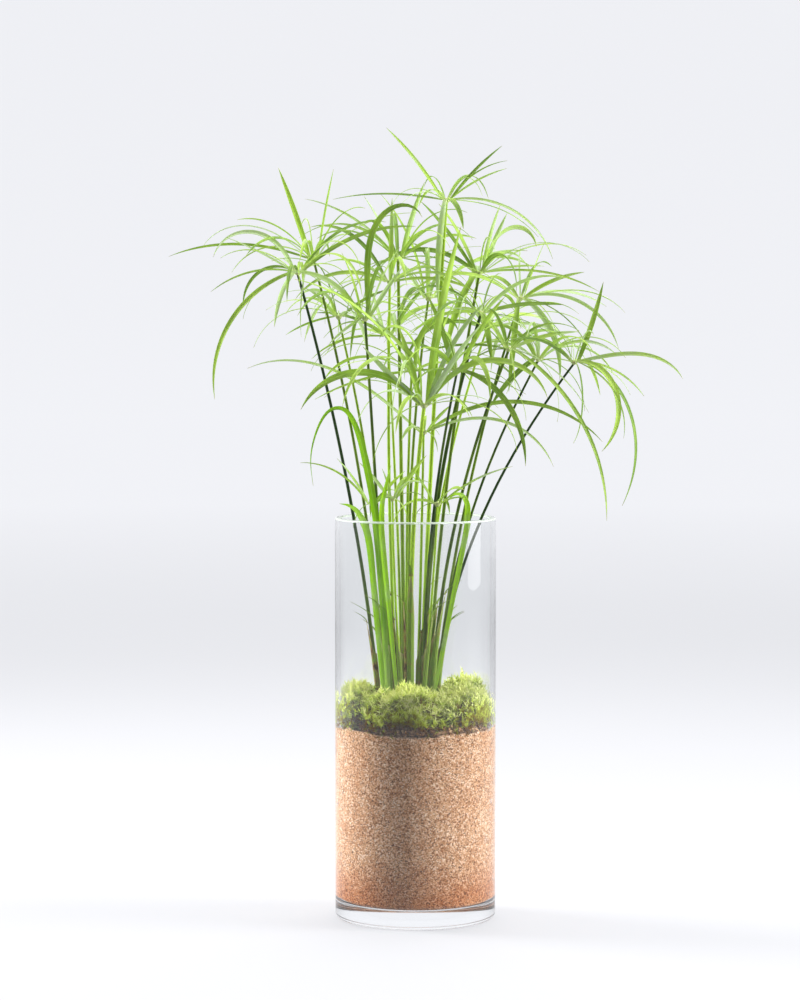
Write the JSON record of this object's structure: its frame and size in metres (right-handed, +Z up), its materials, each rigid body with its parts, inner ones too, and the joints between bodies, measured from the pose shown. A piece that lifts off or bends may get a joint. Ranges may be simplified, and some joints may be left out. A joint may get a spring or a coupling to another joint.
{
  "type": "potted papyrus plant",
  "caption": "Umbrella papyrus with long thin stems and whorls of narrow leaves, growing in moss, soil and sand in a tall clear glass cylinder vase.",
  "frame": {"origin": "centre of the vase's flat underside, on the surface it stands on", "axes": "+Z up along the vase's axis, -Y towards the viewer, +X to the viewer's right"},
  "size_m": [0.3807, 0.2851, 0.5894],
  "materials": {
    "clear_glass": "polished",
    "sand": "matte",
    "soil": "matte",
    "moss": "matte",
    "stem_green": "satin",
    "leaf_green": "satin"
  },
  "bodies": {
    "root": {"vase": "clear_glass", "sand": "sand", "soil": "soil", "moss_left": "moss", "moss_front": "moss", "moss_right": "moss", "moss_back_right": "moss", "moss_back": "moss", "moss_back_left": "moss", "stem_01": "stem_green", "umbel_01": "leaf_green", "stem_02": "stem_green", "umbel_02": "leaf_green", "stem_03": "stem_green", "umbel_03": "leaf_green", "stem_04": "stem_green", "umbel_04": "leaf_green", "stem_05": "stem_green", "umbel_05": "leaf_green", "stem_06": "stem_green", "umbel_06": "leaf_green", "stem_07": "stem_green", "umbel_07": "leaf_green", "stem_08": "stem_green", "umbel_08": "leaf_green", "stem_09": "stem_green", "umbel_09": "leaf_green", "stem_10": "stem_green", "umbel_10": "leaf_green", "stem_11": "stem_green", "umbel_11": "leaf_green", "stem_12": "stem_green", "umbel_12": "leaf_green", "stem_13": "stem_green", "umbel_13": "leaf_green", "stem_14": "stem_green", "umbel_14": "leaf_green", "stem_15": "stem_green", "umbel_15": "leaf_green", "stem_16": "stem_green", "umbel_16": "leaf_green", "stem_17": "stem_green", "umbel_17": "leaf_green", "stem_18": "stem_green", "umbel_18": "leaf_green", "stem_19": "stem_green", "umbel_19": "leaf_green", "stem_20": "stem_green", "umbel_20": "leaf_green", "stem_21": "stem_green", "umbel_21": "leaf_green", "stem_22": "stem_green", "umbel_22": "leaf_green", "stem_23": "stem_green", "umbel_23": "leaf_green", "leaf_tall": "leaf_green", "leaf_left": "leaf_green", "leaf_middle": "leaf_green", "leaf_right": "leaf_green"}
  },
  "joints": []
}
